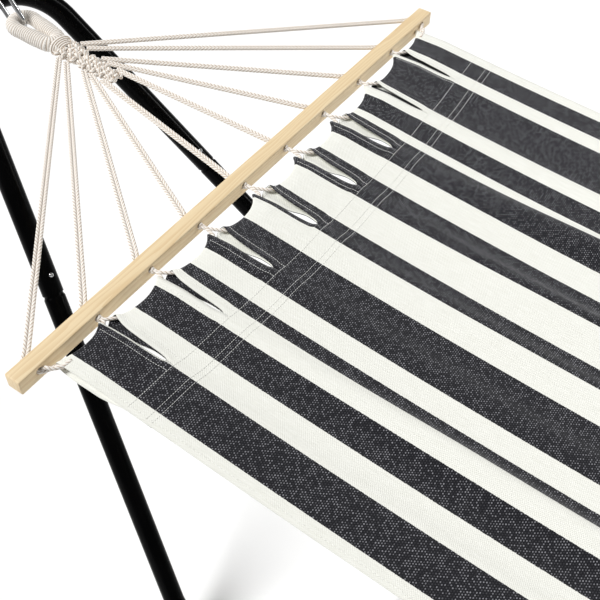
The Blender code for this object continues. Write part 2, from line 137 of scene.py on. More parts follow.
CLEW_START_OUT = 0.441
CLEW_END_OUT = 0.315
CLEW_HALF_WIDTH = 0.023
CLEW_END_HALF_WIDTH = 0.012
CLEW_WEAVE_DEPTH = 0.0062
CLEW_COLUMNS = 4
COLUMN_RADII = (0.0050, 0.0034)
COLLAR_COUNT = 5
COLLAR_PITCH = 0.0034
COLLAR_HALF_WIDTH = 0.0215
COLLAR_TAPER = 0.0022
# The three knots of the clew: (first row's distance out, last row's, rows)
CLEW_KNOTS = ((0.4395, 0.3985, 6), (0.3800, 0.3450, 5), (0.3330, 0.3130, 3))

CORD_DIAMETER = 0.006
CORD_LAY = 0.020
CORD_STEP = 0.0018
PATH_STEP = 0.0016
CORD_SIDES = 12
CORD_SPREAD = 0.0030
HALF_STRAND = 0.5 / 3.0
ROPE_EXITS = (0.420, 0.404, 0.366, 0.351, 0.327)
ROPE_OFF_CLEW = 0.006

BED_HALF_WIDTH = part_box("bed")[1].y
BED_TOP = BAR_HEIGHT + 0.0065
BED_SAG = 0.041
MIDDLE_SAG = 0.020
SAG_START_X = 0.08
CLOTH_THICKNESS = 0.0012
FOLD_RADIUS = 0.0046
LAYER_GAP = 0.0018
TAB_CORNER_X = 0.0205
TAB_HOLLOW = 0.006
MIDDLE_HOLLOW = 0.006
MIDDLE_BOW = 0.027
SLIT_TIP_X = 0.135
MOUTH_LOW = 0.0145
MOUTH_HIGH = 0.0025
HIGH_CORNER_FORWARD = 0.008
SLIT_BELLIES = (0.0045, 0.0038, 0.0060, 0.0090, 0.0092, 0.0090, 0.0042, 0.0046)
UNDER_SHOWS = 0.0035
STITCH_RADIUS = 0.00037
STITCH_RISE = 0.0004
CROSS_STITCH_X = 0.147
HEM_STITCH_X = (0.178, 0.188)
HEM_END_X = 0.1915
SLIT_STITCH_INSET = 0.0135
SIDE_STITCH_INSET = 0.008
RIPPLE = 0.0040
RIPPLE_CHANGE_X = 0.74
# The ripple that runs on from each slit: (its height towards the bed's middle, its shift to +Y)
RIDGES = (
    (0.002, 0.0), (0.0145, 0.010), (0.003, 0.0), (0.007, -0.005),
    (0.0115, -0.010), (0.013, 0.022), (0.0035, 0.0), (0.002, 0.0),
)

# Dark stripes across the bed, from the -Y side: (middle, width)
DARK_STRIPES = (
    (-0.437, 0.066), (-0.331, 0.052), (-0.257, 0.0235), (-0.163, 0.085), (-0.048, 0.041),
    (0.061, 0.053), (0.168, 0.059), (0.2385, 0.041), (0.3435, 0.092), (0.4455, 0.041),
)

TURN = {"head": 1.0, "foot": -1.0}
EAST = np.array((1.0, 0.0, 0.0))
NORTH = np.array((0.0, 1.0, 0.0))
UP = np.array((0.0, 0.0, 1.0))
ARCH_DOWN = np.array((math.sin(LEG_LEAN), 0.0, -math.cos(LEG_LEAN)))
ARCH_NORMAL = np.array((math.cos(LEG_LEAN), 0.0, math.sin(LEG_LEAN)))
CROWN = np.array((-CROWN_OUT, 0.0, BAR_HEIGHT + CROWN_RISE))
HOOK_DOWN = np.array((math.cos(HOOK_TILT), 0.0, -math.sin(HOOK_TILT)))
HOOK_SIDE = np.array((math.sin(HOOK_TILT), 0.0, math.cos(HOOK_TILT)))
HOOK_CENTRE = CROWN + HOOK_SIDE * (HOOK_REST + HOOK_MOUTH_RADIUS) + HOOK_DOWN * HOOK_SPINE


# ---- mesh helpers


def unit(vector):
    return vector / np.linalg.norm(vector)


def placed(points, end):
    """Points of an end frame, in the object's frame."""
    points = np.asarray(points, float)
    turn = TURN[end]
    world = points.copy()
    world[..., 0] = turn * (BAR_X + points[..., 0])
    world[..., 1] = turn * points[..., 1]
    return world


def arc(centre, start, side, radius, first, last, step=BEND_STEP):
    """Points on an arc, at angles measured from start towards side."""
    count = max(2, math.ceil(abs(last - first) / step))
    angles = np.linspace(first, last, count + 1)[:, None]
    return centre + start * radius * np.cos(angles) + side * radius * np.sin(angles)


def lengths_along(path):
    steps = np.linalg.norm(np.diff(path, axis=0), axis=1)
    return np.concatenate([[0.0], np.cumsum(steps)])


def resampled(path, step):
    """The path's points again, evenly spaced."""
    along = lengths_along(path)
    count = max(2, math.ceil(along[-1] / step))
    wanted = np.linspace(0.0, along[-1], count + 1)
    return np.stack([np.interp(wanted, along, path[:, axis]) for axis in range(3)], axis=1)


def smoothed(points, step):
    """An even path on the Catmull-Rom curve through the points."""
    points = np.asarray(points, float)
    first = 2.0 * points[0] - points[1]
    last = 2.0 * points[-1] - points[-2]
    knots = np.vstack([first, points, last])
    share = np.linspace(0.0, 1.0, 12, endpoint=False)[:, None]
    pieces = []
    for before, start, finish, after in zip(knots, knots[1:], knots[2:], knots[3:]):
        bend = (2.0 * before - 5.0 * start + 4.0 * finish - after) * share**2
        curl = (3.0 * start - before - 3.0 * finish + after) * share**3
        pieces.append(0.5 * (2.0 * start + (finish - before) * share + bend + curl))
    pieces.append(points[-1:])
    return resampled(np.vstack(pieces), step)


def carried_frames(path, closed):
    """Two unit vectors across the path at each point, carried along it without twisting."""
    if closed:
        ahead = np.roll(path, -1, axis=0) - np.roll(path, 1, axis=0)
    else:
        ahead = np.gradient(path, axis=0)
    ahead = ahead / np.linalg.norm(ahead, axis=1, keepdims=True)
    across = np.empty_like(path)
    current = np.cross(ahead[0], unit(np.array((0.31, 0.87, 0.23))))
    for index, direction in enumerate(ahead):
        current = unit(current - direction * current.dot(direction))
        across[index] = current
    return across, np.cross(ahead, across)


def tube(path, radius, sides, closed=False, turns_of_mark=None):
    """A round tube along a path, as (corners, faces, texture coordinates of every face corner).

    radius is a number, one number for each point, or a function of (distance, angle).
    The texture's U is the distance along the path. Its V is the share of a turn, less
    turns_of_mark (a function of distance), so that a mark can wind round the tube.
    """
    path = np.asarray(path, float)
    distance = lengths_along(path)
    angle = np.linspace(0.0, 2.0 * math.pi, sides, endpoint=False)
    if callable(radius):
        reach = radius(distance[:, None], angle[None, :])
    else:
        reach = np.ones((len(path), sides)) * np.asarray(radius, float).reshape(-1, 1)
    across, over = carried_frames(path, closed)
    offset = across[:, None] * np.cos(angle)[None, :, None]
    offset = offset + over[:, None] * np.sin(angle)[None, :, None]
    corners = (path[:, None] + reach[..., None] * offset).reshape(-1, 3)
    rings = len(path) if closed else len(path) - 1
    ring, side = np.meshgrid(np.arange(rings), np.arange(sides), indexing="ij")
    next_ring = (ring + 1) % len(path)
    next_side = (side + 1) % sides
    here, there = ring * sides, next_ring * sides
    quads = [here + side, here + next_side, there + next_side, there + side]
    faces = np.stack(quads, axis=-1).reshape(-1, 4).tolist()
    if closed:
        distance = np.append(distance, distance[-1] + np.linalg.norm(path[0] - path[-1]))
    mark = turns_of_mark(distance) if turns_of_mark else np.zeros_like(distance)
    first_u, last_u = distance[ring], distance[ring + 1]
    first_v, last_v = mark[ring], mark[ring + 1]
    low, high = side / sides, (side + 1) / sides
    marks = [(first_u, low - first_v), (first_u, high - first_v)]
    marks += [(last_u, high - last_v), (last_u, low - last_v)]
    texture = np.stack([np.stack(pair, axis=-1) for pair in marks], axis=-2).reshape(-1, 2)
    if not closed:
        last = (len(path) - 1) * sides
        faces.append(list(range(sides - 1, -1, -1)))
        faces.append(list(range(last, last + sides)))
        texture = np.vstack([texture, np.zeros((2 * sides, 2))])
    return corners, faces, texture


def joined(parts):
    """Several (corners, faces, texture) as one."""
    corners, faces, texture = [], [], []
    start = 0
    for part_corners, part_faces, part_texture in parts:
        corners.append(part_corners)
        faces += [[start + index for index in face] for face in part_faces]
        texture.append(part_texture)
        start += len(part_corners)
    return np.vstack(corners), faces, np.vstack(texture)


def eased(share):
    """The share held between 0 and 1, with a gentle start and stop."""
    share = np.clip(share, 0.0, 1.0)
    return share * share * (3.0 - 2.0 * share)


def linked(name, data):
    """A new object of the scene that shows the data."""
    thing = bpy.data.objects.new(name, data)
    bpy.context.scene.collection.objects.link(thing)
    return thing


def add_piece(name, part, material, body, stands_for=(), sharp=None):
    """A mesh object from (corners, faces, texture) that rides on a body."""
    corners, faces, texture = part
    mesh = bpy.data.meshes.new(name)
    mesh.from_pydata(np.asarray(corners).tolist(), [], faces)
    layer = mesh.uv_layers.new(name="UVMap")
    layer.data.foreach_set("uv", np.asarray(texture, np.float32).ravel())
    mesh.shade_smooth()
    if sharp:
        mesh.set_sharp_from_angle(angle=sharp)
    return finished(linked(name, mesh), material, body, stands_for)


def finished(piece, material, body, stands_for=()):
    """Gives a piece its material and its body, and hides the CAD nodes it stands for."""
    piece.data.materials.clear()
    piece.data.materials.append(material)
    if stands_for:
        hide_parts(*stands_for)
    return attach(piece, body)


def apply_modifiers(piece):
    """The piece's mesh with its modifiers worked in."""
    graph = bpy.context.evaluated_depsgraph_get()
    mesh = bpy.data.meshes.new_from_object(piece.evaluated_get(graph), depsgraph=graph)
    piece.modifiers.clear()
    piece.data = mesh


def add_box(builder, centre, size):
    place = Matrix.Translation(centre) @ Matrix.Diagonal((*size, 1.0))
    bmesh.ops.create_cube(builder, size=1.0, matrix=place)


def add_cylinder(builder, radius, depth, place, sides=STAND_SIDES):
    bmesh.ops.create_cone(
        builder, cap_ends=True, segments=sides, radius1=radius, radius2=radius, depth=depth, matrix=place
    )


def rounded_block(name, node, rounding):
    """A block with rounded edges, the size of the CAD node's box."""
    low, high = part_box(node)
    mesh = bpy.data.meshes.new(name)
    builder = bmesh.new()
    add_box(builder, (low + high) / 2.0, high - low)
    builder.to_mesh(mesh)
    builder.free()
    block = linked(name, mesh)
    edge = block.modifiers.new("rounded", "BEVEL")
    edge.width = rounding
    edge.segments = 4
    apply_modifiers(block)
    return block


def carved(piece, cuts, crease, material, body, node):
    """The piece less the closed bodies in cuts, shaded and finished."""
    mesh = bpy.data.meshes.new("cutter")
    cuts.to_mesh(mesh)
    cuts.free()
    cutter = linked("cutter", mesh)
    cut = piece.modifiers.new("cut", "BOOLEAN")
    cut.operation = "DIFFERENCE"
    cut.solver = "EXACT"
    cut.object = cutter
    apply_modifiers(piece)
    bpy.data.objects.remove(cutter)
    piece.data.shade_smooth()
    piece.data.set_sharp_from_angle(angle=crease)
    return finished(piece, material, body, [node])


def side_name(end, side):
    """The word for side -1 or +1 of an end frame; left is the object's -Y side."""
    return "left" if side * TURN[end] < 0 else "right"


# ---- materials


class Nodes:
    """Short calls for building a material's node tree."""

    def __init__(self, name):
        self.material = bpy.data.materials.new(name)
        self.material.use_nodes = True
        self.tree = self.material.node_tree
        self.shader = self.tree.nodes["Principled BSDF"]

    def add(self, kind, settings=None, **inputs):
        node = self.tree.nodes.new(kind)
        for key, value in (settings or {}).items():
            setattr(node, key, value)
        for key, value in inputs.items():
            self.feed(node.inputs[key.replace("_", " ")], value)
        return node

    def feed(self, socket, value):
        if isinstance(value, bpy.types.NodeSocket):
            self.tree.links.new(value, socket)
        else:
            socket.default_value = value

    def math(self, operation, first, second=0.0, third=0.0):
        node = self.add("ShaderNodeMath", {"operation": operation})
        for socket, value in zip(node.inputs, (first, second, third)):
            self.feed(socket, value)
        return node.outputs[0]

    def noise(self, vector, scale, detail=2.0, roughness=0.5):
        inputs = {"Vector": vector, "Scale": scale, "Detail": detail, "Roughness": roughness}
        return self.add("ShaderNodeTexNoise", **inputs).outputs["Fac"]

    def off_middle(self, share):
        """How far a share is from one half."""
        return self.math("ABSOLUTE", self.math("SUBTRACT", share, 0.5))

    def scaled(self, vector, factors):
        node = self.add("ShaderNodeVectorMath", {"operation": "MULTIPLY"})
        self.feed(node.inputs[0], vector)
        self.feed(node.inputs[1], factors)
        return node.outputs[0]

    def blend(self, share, first, second):
        """Colour from first (share 0) to second (share 1)."""
        node = self.add("ShaderNodeMix", {"data_type": "RGBA"})
        self.feed(node.inputs[0], share)
        self.feed(node.inputs[6], first)
        self.feed(node.inputs[7], second)
        return node.outputs[2]

    def spread(self, value, low, high, new_low=0.0, new_high=1.0):
        node = self.add("ShaderNodeMapRange", {"interpolation_type": "SMOOTHSTEP"})
        for socket, number in zip(node.inputs, (value, low, high, new_low, new_high)):
            self.feed(socket, number)
        return node.outputs[0]

    def place(self):
        return self.add("ShaderNodeTexCoord").outputs["Object"]

    def uv(self):
        node = self.add("ShaderNodeSeparateXYZ", Vector=self.add("ShaderNodeTexCoord").outputs["UV"])
        return node.outputs[0], node.outputs[1]

    def bump(self, height, distance, strength=1.0):
        node = self.add("ShaderNodeBump", Height=height, Distance=distance, Strength=strength)
        self.feed(self.shader.inputs["Normal"], node.outputs[0])

    def set(self, **values):
        for key, value in values.items():
            self.feed(self.shader.inputs[key.replace("_", " ")], value)


def colour(red, green, blue):
    return (red, green, blue, 1.0)


def black_steel():
    """Satin powder coat: a fine orange peel and a few dulled patches."""
    n = Nodes("black_powder_coat")
    place = n.place()
    peel = n.noise(place, 900.0, 3.0)
    handled = n.noise(place, 14.0, 4.0, 0.6)
    n.set(Base_Color=n.blend(handled, colour(0.0006, 0.0006, 0.0007), colour(0.0014, 0.0014, 0.0016)))
    n.set(Roughness=n.spread(handled, 0.3, 0.75, 0.16, 0.28), Specular_IOR_Level=0.045)
    n.bump(peel, 0.00012, 0.35)
    return n.material


def bright_steel():
    """Polished plated steel with faint drawing lines and dull spots."""
    n = Nodes("plated_steel")
    place = n.place()
    lines = n.noise(n.scaled(place, (120.0, 900.0, 120.0)), 6.0, 2.0)
    dull = n.noise(place, 60.0, 3.0)
    n.set(Metallic=1.0, Base_Color=n.blend(dull, colour(0.50, 0.51, 0.52), colour(0.66, 0.66, 0.66)))
    n.set(Roughness=n.spread(dull, 0.35, 0.7, 0.14, 0.27))
    n.bump(lines, 0.00005, 0.25)
    return n.material


def pine():
    """Pale planed pine: long wavy growth lines along the bar, fine pores and a satin oil."""
    n = Nodes("pale_pine")
    place = n.place()
    drift = n.noise(n.scaled(place, (18.0, 1.6, 18.0)), 1.0, 3.0)
    bend = n.math("MULTIPLY", drift, 13.0)
    axes = n.add("ShaderNodeSeparateXYZ", Vector=place)
    rings = n.math("MULTIPLY_ADD", axes.outputs[0], 130.0, bend)
    rings = n.math("MULTIPLY_ADD", axes.outputs[2], 70.0, rings)
    late = n.spread(n.math("FRACT", rings), 0.25, 1.0)
    fibre = n.noise(n.scaled(place, (900.0, 22.0, 900.0)), 1.0, 4.0, 0.65)
    board = n.noise(n.scaled(place, (30.0, 3.0, 30.0)), 1.0, 2.0)
    pale = n.blend(board, colour(0.82, 0.675, 0.445), colour(0.775, 0.615, 0.385))
    warm = n.blend(n.math("MULTIPLY", late, 0.55), pale, colour(0.66, 0.465, 0.245))
    fine = n.spread(fibre, 0.35, 0.75, 0.0, 0.22)
    n.set(Base_Color=n.blend(fine, warm, colour(0.60, 0.42, 0.225)), Roughness=0.52)
    n.set(Specular_IOR_Level=0.4)
    n.bump(n.math("MULTIPLY_ADD", late, -0.35, fibre), 0.0004, 0.30)
    return n.material


def cotton(name, strands, pale, shade):
    """Twisted cord: V counts turns of the lay, so strands * V counts the strands round the cord. The shade
    colour is painted shade in the hollows between strands, and a little of it also flecks the fibres.
    """
    n = Nodes(name)
    along, turn = n.uv()
    strand = n.math("FRACT", n.math("MULTIPLY", turn, strands))
    # groove is 1 in the hollows between strands, which take the shade colour: painted shade
    groove = n.spread(n.off_middle(strand), 0.26, 0.44)
    hairs = n.noise(n.place(), 1500.0, 3.0, 0.6)
    yarns = n.math("FRACT", n.math("MULTIPLY_ADD", along, 900.0, n.math("MULTIPLY", strand, 5.0)))
    speck = n.blend(n.spread(hairs, 0.35, 0.65, 0.0, 0.25), pale, shade)
    n.set(Base_Color=n.blend(groove, speck, shade), Roughness=0.9)
    n.set(Sheen_Weight=0.25, Sheen_Roughness=0.5, Specular_IOR_Level=0.2)
    n.bump(n.math("MULTIPLY_ADD", hairs, 0.5, n.off_middle(yarns)), 0.0004, 0.5)
    return n.material


def canvas(name, reverse):
    """Striped canvas. With reverse set it is for the back faces: dark where the face is pale and pale where
    it is dark, but pale along the side hems; this dark, seen inside the folded tabs, is painted shade.

    U is the place across the flat cloth and V the place along it, in metres.
    """
    n = Nodes(name)
    across, along = n.uv()
    flat = n.add("ShaderNodeCombineXYZ", X=across, Y=along).outputs[0]
    slub = n.noise(n.scaled(flat, (500.0, 36.0, 1.0)), 1.0, 3.0, 0.6)
    uneven = n.noise(n.scaled(flat, (60.0, 420.0, 1.0)), 1.0, 3.0, 0.6)

    edge = n.math("MULTIPLY_ADD", n.math("SUBTRACT", uneven, 0.5), 0.0022, across)
    ramp = n.add("ShaderNodeValToRGB", Fac=n.math("MULTIPLY_ADD", edge, 1.0, 0.5))
    ramp.color_ramp.interpolation = "CONSTANT"
    ramp.color_ramp.elements.remove(ramp.color_ramp.elements[1])
    ramp.color_ramp.elements[0].position = 0.0
    ramp.color_ramp.elements[0].color = colour(0.0, 0.0, 0.0)
    for middle, width in DARK_STRIPES:
        for offset, value in ((-0.5, 1.0), (0.5, 0.0)):
            stop = ramp.color_ramp.elements.new(0.5 + middle + offset * width)
            stop.color = colour(value, value, value)
    dark = ramp.outputs["Color"]
    # The back faces swap the stripes' colours and stay pale along the side hems; their dark stands in for
    # the shade inside the folded tabs: painted shade
    if reverse:
        hem = n.math("LESS_THAN", n.math("ABSOLUTE", across), BED_HALF_WIDTH - 0.020)
        dark = n.math("MULTIPLY", n.math("SUBTRACT", 1.0, dark), hem)

    warp_pitch = 0.0040
    weft_pitch = 0.0031
    warp_place = n.math("MULTIPLY_ADD", slub, 0.5, n.math("MULTIPLY", across, 1.0 / warp_pitch))
    weft_place = n.math("MULTIPLY_ADD", uneven, 0.5, n.math("MULTIPLY", along, 1.0 / weft_pitch))
    twill = n.math("MULTIPLY_ADD", n.math("FLOOR", weft_place), 0.5, warp_place)
    warp = n.math("SINE", n.math("MULTIPLY", warp_place, 2.0 * math.pi))
    weft = n.math("SINE", n.math("MULTIPLY", weft_place, 2.0 * math.pi))
    weave = n.math("MULTIPLY", warp, weft)
    cell = n.add("ShaderNodeCombineXYZ", X=n.math("FLOOR", twill), Y=n.math("FLOOR", weft_place))
    toss = n.add("ShaderNodeTexWhiteNoise", {"noise_dimensions": "2D"}, Vector=cell.outputs[0])
    chance = toss.outputs["Value"]
    crossing = n.math("MULTIPLY", n.math("PINGPONG", twill, 0.5), n.math("PINGPONG", weft_place, 0.5))
    fleck = n.math("MULTIPLY", n.spread(chance, 0.15, 0.95, 0.10, 1.0), n.spread(crossing, 0.07, 0.14))
    grain = n.noise(n.scaled(flat, (620.0, 480.0, 1.0)), 1.0, 2.0, 0.5)

    pale = n.blend(n.spread(slub, 0.3, 0.75), colour(0.80, 0.80, 0.735), colour(0.86, 0.86, 0.805))
    # The pale cloth is darkened a little where the weave lies lowest: painted shade in the weave's hollows
    pale = n.blend(n.spread(weave, -0.2, -1.0, 0.0, 0.20), pale, colour(0.68, 0.68, 0.62))
    worn = n.blend(grain, colour(0.003, 0.003, 0.005), colour(0.007, 0.007, 0.011))
    ink = n.blend(fleck, worn, colour(0.24, 0.24, 0.26))
    n.set(Base_Color=n.blend(dark, pale, ink), Roughness=0.92, Specular_IOR_Level=0.12)
    n.set(Sheen_Weight=0.15, Sheen_Roughness=0.6)
    n.bump(n.math("MULTIPLY_ADD", grain, 0.8, weave), 0.0005, 0.45)
    return n.material


def thread():
    n = Nodes("stitching_thread")
    twist = n.noise(n.place(), 1800.0, 2.0)
    n.set(Base_Color=n.blend(twist, colour(0.93, 0.93, 0.90), colour(0.82, 0.82, 0.79)), Roughness=0.75)
    n.bump(twist, 0.0002, 0.4)
    return n.material


def rubber():
    n = Nodes("black_rubber")
    place = n.place()
    dust = n.noise(place, 90.0, 4.0, 0.6)
    grain = n.noise(place, 1400.0, 2.0)
    n.set(Base_Color=n.blend(dust, colour(0.012, 0.012, 0.012), colour(0.028, 0.027, 0.026)))
    n.set(Roughness=n.spread(dust, 0.3, 0.7, 0.62, 0.80))
    n.bump(grain, 0.0003, 0.35)
    return n.material


def studio_floor():
    n = Nodes("studio_floor")
    cloudy = n.noise(n.place(), 1.2, 2.0)
    n.set(Base_Color=n.blend(cloudy, colour(0.90, 0.90, 0.90), colour(0.93, 0.93, 0.93)), Roughness=0.85)
    n.set(Specular_IOR_Level=0.1)
    return n.material


BLACK_STEEL = black_steel()
BRIGHT_STEEL = bright_steel()
PINE = pine()
# The last colour given to each cotton is painted shade: between the cord's strands, and between the
# binding's turns
CORD_COTTON = cotton("cotton_cord", 3.0, colour(0.95, 0.92, 0.87), colour(0.55, 0.44, 0.34))
WRAP_COTTON = cotton("cotton_binding", 1.0, colour(0.94, 0.91, 0.86), colour(0.58, 0.49, 0.40))
CANVAS = canvas("striped_canvas", False)
CANVAS_REVERSE_PAINTED_SHADE = canvas("striped_canvas_reverse_painted_shade", True)
THREAD = thread()
RUBBER = rubber()


# ---- stand


def leg_direction(side):
    return ARCH_DOWN * math.cos(LEG_SPREAD) + NORTH * (side * math.sin(LEG_SPREAD))


def crown_points():
    centre = CROWN + ARCH_DOWN * CROWN_RADIUS
    half_turn = math.pi / 2.0 - LEG_SPREAD
    return arc(centre, -ARCH_DOWN, NORTH, CROWN_RADIUS, -half_turn, half_turn)


def down_to(side, height):
    """The point of a leg's straight line at that height."""
    start = crown_points()[-1 if side > 0 else 0]
    down = leg_direction(side)
    return start + down * ((start[2] - height) / -down[2])


def arch_end(side):
    return down_to(side, BAR_HEIGHT - ARCH_END_DROP)


def open_tube(stations, sides=STAND_SIDES):
    """A hollow tube with open ends, from (point, outer radius) stations."""
    path = np.array([station[0] for station in stations])
    outer = np.array([station[1] for station in stations])
    outside = tube(path, outer, sides)
    inside = tube(path, outer - TUBE_WALL, sides)
    count = len(path) * sides
    faces = outside[1][:-2] + [[count + index for index in reversed(face)] for face in inside[1][:-2]]
    for side in range(sides):
        following = (side + 1) % sides
        faces.append([side, count + side, count + following, following])
        first = count - sides
        second = 2 * count - sides
        faces.append([first + following, second + following, second + side, first + side])
    corners = np.vstack([outside[0], inside[0]])
    return corners, faces, np.zeros((sum(len(face) for face in faces), 2))


def neck_stations(end_point, into):
    """A swaged neck that shows a little before the next tube's end, with a rounded shoulder."""
    tip = end_point + into * INSERT_LENGTH
    show = end_point - into * NECK_SHOW
    drop = TUBE_RADIUS - NECK_RADIUS
    stations = [(tip, NECK_RADIUS), (show, NECK_RADIUS)]
    for share in (0.25, 0.5, 0.75, 1.0):
        rise = drop * 0.5 * (1.0 - math.cos(math.pi * share))
        stations.append((show - into * (SHOULDER * share), NECK_RADIUS + rise))
    return stations


def eased_end(point, into):
    """A tube end with a filed outer edge; into points along the tube, away from the end."""
    return [(point, TUBE_RADIUS - TUBE_END_ROUNDING), (point + into * TUBE_END_EASE, TUBE_RADIUS)]


def add_steel_tube(name, node, stations, end=None):
    """A black tube of the stand. With an end given, its stations are in that end's frame."""
    if end:
        stations = [(placed(point, end), radius) for point, radius in stations]
    part = open_tube(stations)
    add_piece(name, part, BLACK_STEEL, "stand", [node], TUBE_CREASE)


def make_stand_end(end):
    arch = eased_end(arch_end(-1), -leg_direction(-1))
    arch += [(point, TUBE_RADIUS) for point in crown_points()]
    arch += eased_end(arch_end(1), -leg_direction(1))[::-1]
    add_steel_tube(f"{end}_arch", f"{end}_arch_tube", arch, end)
    for side in (-1, 1):
        make_leg(end, side)
        make_rubber_foot(end, side)
        make_heel(end, side)
        make_screws(end, side)
    half = CROSS_LENGTH / 2.0
    cross = [((CROSS_X, y, CROSS_Z), CROSS_RADIUS) for y in (-half, half)]
    add_steel_tube(f"{end}_cross_bar", f"{end}_cross_tube", cross, end)


def make_leg(end, side):
    down = leg_direction(side)
    corner = down_to(side, RAIL_Z)
    turn = math.acos(down.dot(EAST))
    setback = FLOOR_BEND_RADIUS * math.tan(turn / 2.0)
    inward = unit(EAST - down * EAST.dot(down))
    centre = corner - down * setback + inward * FLOOR_BEND_RADIUS
    bend = arc(centre, -inward, down, FLOOR_BEND_RADIUS, 0.0, turn)
    last = np.array((LEG_END_X, corner[1], RAIL_Z))
    stations = neck_stations(arch_end(side), -down)
    stations += [(point, TUBE_RADIUS) for point in bend]
    stations += eased_end(last, -EAST)[::-1]
    node = f"{end}_{side_name(end, side)}_leg"
    add_steel_tube(node + "_tube", node, stations, end)


def make_rails():
    reach = -BAR_X - LEG_END_X
    for side in (-1, 1):
        y = down_to(side, RAIL_Z)[1]
        first = neck_stations(np.array((-reach, y, RAIL_Z)), -EAST)
        second = neck_stations(np.array((reach, y, RAIL_Z)), EAST)
        node = ("left" if side < 0 else "right") + "_side_rail"
        add_steel_tube(node + "_tube", node, first + second[::-1])


def make_rubber(node, rounding, socket, socket_sizes, grooves):
    """A rubber block with a round socket and with grip grooves along its side faces.

    socket is the socket's placement and socket_sizes its (radius, length). grooves is
    (the side faces' Y, the lowest groove's height, a groove's length).
    """
    low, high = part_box(node)
    middle_x = (low.x + high.x) / 2.0
    block = rounded_block(node + "_rubber", node, rounding)
    cuts = bmesh.new()
    add_cylinder(cuts, socket_sizes[0] + SOCKET_SLACK, socket_sizes[1], socket)
    faces_y, lowest, length = grooves
    for step in range(GROOVE_COUNT):
        for face_y in faces_y:
            centre = (middle_x, face_y, lowest + GROOVE_PITCH * step)
            add_box(cuts, centre, (length, GROOVE_WIDTH, GROOVE_HEIGHT))
    carved(block, cuts, BLOCK_CREASE, RUBBER, "stand", node)


def make_heel(end, side):
    """The rubber block under a leg's bend; the tube lies in its socket."""
    node = f"{end}_{side_name(end, side)}_heel_foot"
    low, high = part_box(node)
    middle = (low + high) / 2.0
    along = Matrix.Translation((middle.x, middle.y, RAIL_Z)) @ Matrix.Rotation(math.pi / 2.0, 4, "Y")
    grooves = ((low.y, high.y), low.z + HEEL_GROOVE_RISE, HEEL_GROOVE_LENGTH)
    make_rubber(node, HEEL_ROUNDING, along, (TUBE_RADIUS, HEEL_SOCKET_LENGTH), grooves)


def make_rubber_foot(end, side):
    """The rubber cap over a cross tube's end, with a flat sole."""
    node = f"{end}_{side_name(end, side)}_foot"
    low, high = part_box(node)
    middle = (low + high) / 2.0
    inner_y, outer_y = (low.y, high.y) if middle.y > 0.0 else (high.y, low.y)
    socket = Matrix.Translation((middle.x, inner_y, CROSS_Z)) @ Matrix.Rotation(math.pi / 2.0, 4, "X")
    grooves = ((outer_y,), low.z + FOOT_GROOVE_RISE, (high.x - low.x) * FOOT_GROOVE_SHARE)
    make_rubber(node, FOOT_ROUNDING, socket, (CROSS_RADIUS, FOOT_SOCKET_LENGTH), grooves)


def turned(profile, sides=32):
    """The corners and faces of a solid turned about Z, from (radius, height) points, top first."""
    angle = np.linspace(0.0, 2.0 * math.pi, sides, endpoint=False)
    corners = []
    for radius, height in profile:
        ring = [radius * np.cos(angle), radius * np.sin(angle), np.full(sides, height)]
        corners.append(np.stack(ring, axis=1))
    faces = []
    for upper in range(0, (len(profile) - 1) * sides, sides):
        lower = upper + sides
        for side in range(sides):
            following = (side + 1) % sides
            faces.append([upper + following, upper + side, lower + side, lower + following])
    faces.append(list(range(sides)))
    last = (len(profile) - 1) * sides
    faces.append(list(range(last + sides - 1, last - 1, -1)))
    return np.vstack(corners), faces


def make_screws(end, side):
    name = f"{end}_{side_name(end, side)}"
    outward = NORTH * side
    arch_place = arch_end(side) - leg_direction(side) * SCREW_INSET + ARCH_NORMAL * TUBE_RADIUS
    rail_y = down_to(side, RAIL_Z)[1]
    rail_place = np.array((LEG_END_X - SCREW_INSET, rail_y, RAIL_Z)) + outward * TUBE_RADIUS
    bolt_place = np.array((CROSS_X, rail_y, RAIL_Z + TUBE_RADIUS))
    make_screw(name + "_arch_screw", arch_place, ARCH_NORMAL, SCREW, end)
    make_screw(name + "_rail_screw", rail_place, outward, SCREW, end)
    make_screw(name + "_cross_bolt", bolt_place, UP, CROSS_BOLT, end)


def make_screw(node, place, direction, sizes, end):
    """A domed screw with a hexagon socket in its head."""
    head, height, shank, reach = sizes
    dome = np.radians((12.0, 30.0, 45.0, 60.0, 75.0, 88.0))
    profile = [(head * math.sin(angle), height * math.cos(angle)) for angle in dome]
    profile += [(head, HEAD_UNDERSIDE), (shank, HEAD_UNDERSIDE), (shank, -reach)]
    corners, faces = turned(profile)
    direction = Vector(placed(direction, end) - placed(np.zeros(3), end))
    turn = Vector((0.0, 0.0, 1.0)).rotation_difference(direction).to_matrix().to_4x4()
    matrix = Matrix.Translation(Vector(placed(place, end))) @ turn
    mesh = bpy.data.meshes.new(node + "_steel")
    mesh.from_pydata([matrix @ Vector(corner) for corner in corners], [], faces)
    cuts = bmesh.new()
    add_cylinder(cuts, head * 0.46, height * 1.1, matrix @ Matrix.Translation((0.0, 0.0, height)), 6)
    screw = linked(node + "_steel", mesh)
    carved(screw, cuts, SCREW_CREASE, BRIGHT_STEEL, "stand", node)


